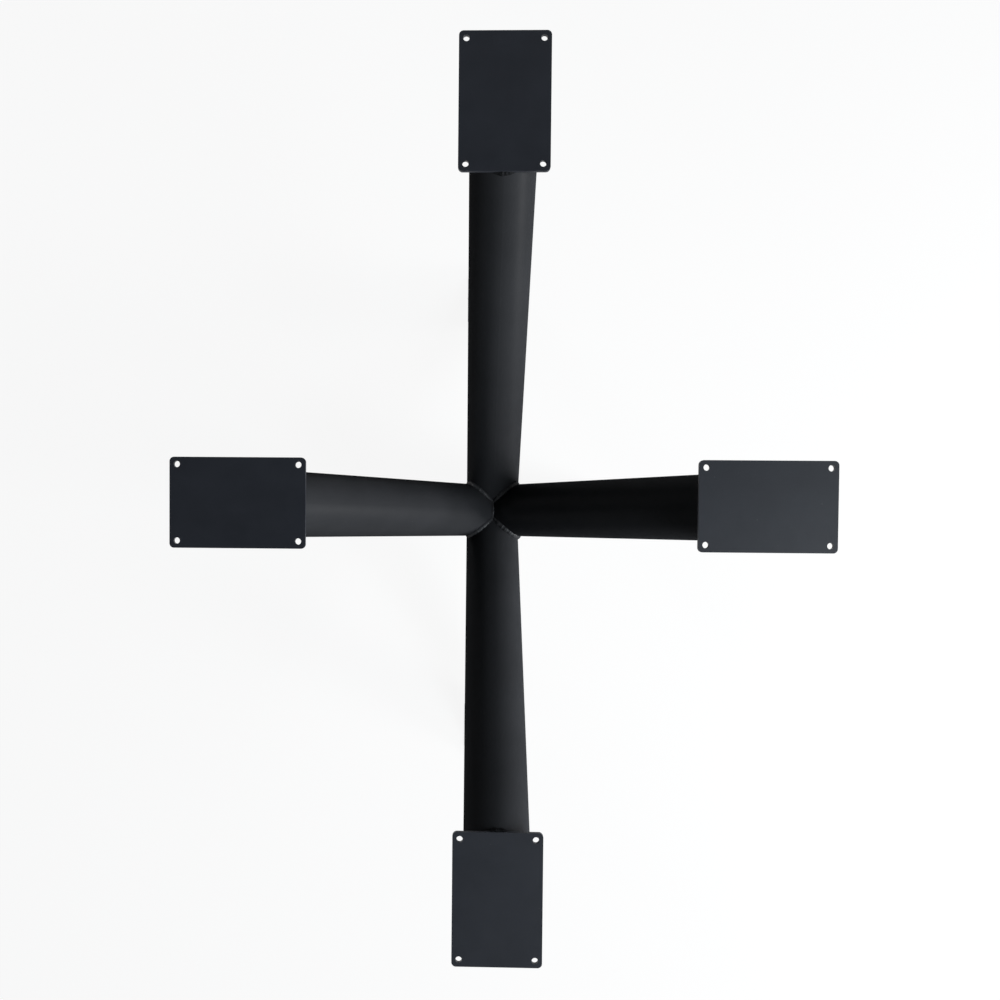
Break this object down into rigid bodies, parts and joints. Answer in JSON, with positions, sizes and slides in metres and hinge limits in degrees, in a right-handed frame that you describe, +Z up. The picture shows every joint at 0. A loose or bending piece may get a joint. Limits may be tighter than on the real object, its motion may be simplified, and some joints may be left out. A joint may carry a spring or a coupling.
{
  "type": "spider table base",
  "caption": "Welded tube table base: round arms rise from a central hub to flat mounting plates, and legs of the same tube spread to the floor, all coated satin black.",
  "frame": {"origin": "on the floor, straight under the hub where all the tubes meet", "axes": "+Z up through the hub, +Y towards one of the two plates that are farthest apart, +X towards one of the nearer plates"},
  "size_m": [0.728, 1.02, 0.72],
  "materials": {
    "coated_tube": "satin black powder coat",
    "coated_plate": "matt black powder coat",
    "coated_weld": "satin black powder coat over a weld bead",
    "floor_pad": "matt black rubber"
  },
  "bodies": {
    "root": {"arm_north": "coated_tube", "leg_north": "coated_tube", "mounting_plate_north": "coated_plate", "foot_plate_north": "coated_plate", "floor_pad_north": "floor_pad", "arm_south": "coated_tube", "leg_south": "coated_tube", "mounting_plate_south": "coated_plate", "foot_plate_south": "coated_plate", "floor_pad_south": "floor_pad", "arm_east": "coated_tube", "leg_east": "coated_tube", "mounting_plate_east": "coated_plate", "foot_plate_east": "coated_plate", "floor_pad_east": "floor_pad", "arm_west": "coated_tube", "leg_west": "coated_tube", "mounting_plate_west": "coated_plate", "foot_plate_west": "coated_plate", "floor_pad_west": "floor_pad", "hub_weld": "coated_weld"}
  },
  "joints": []
}
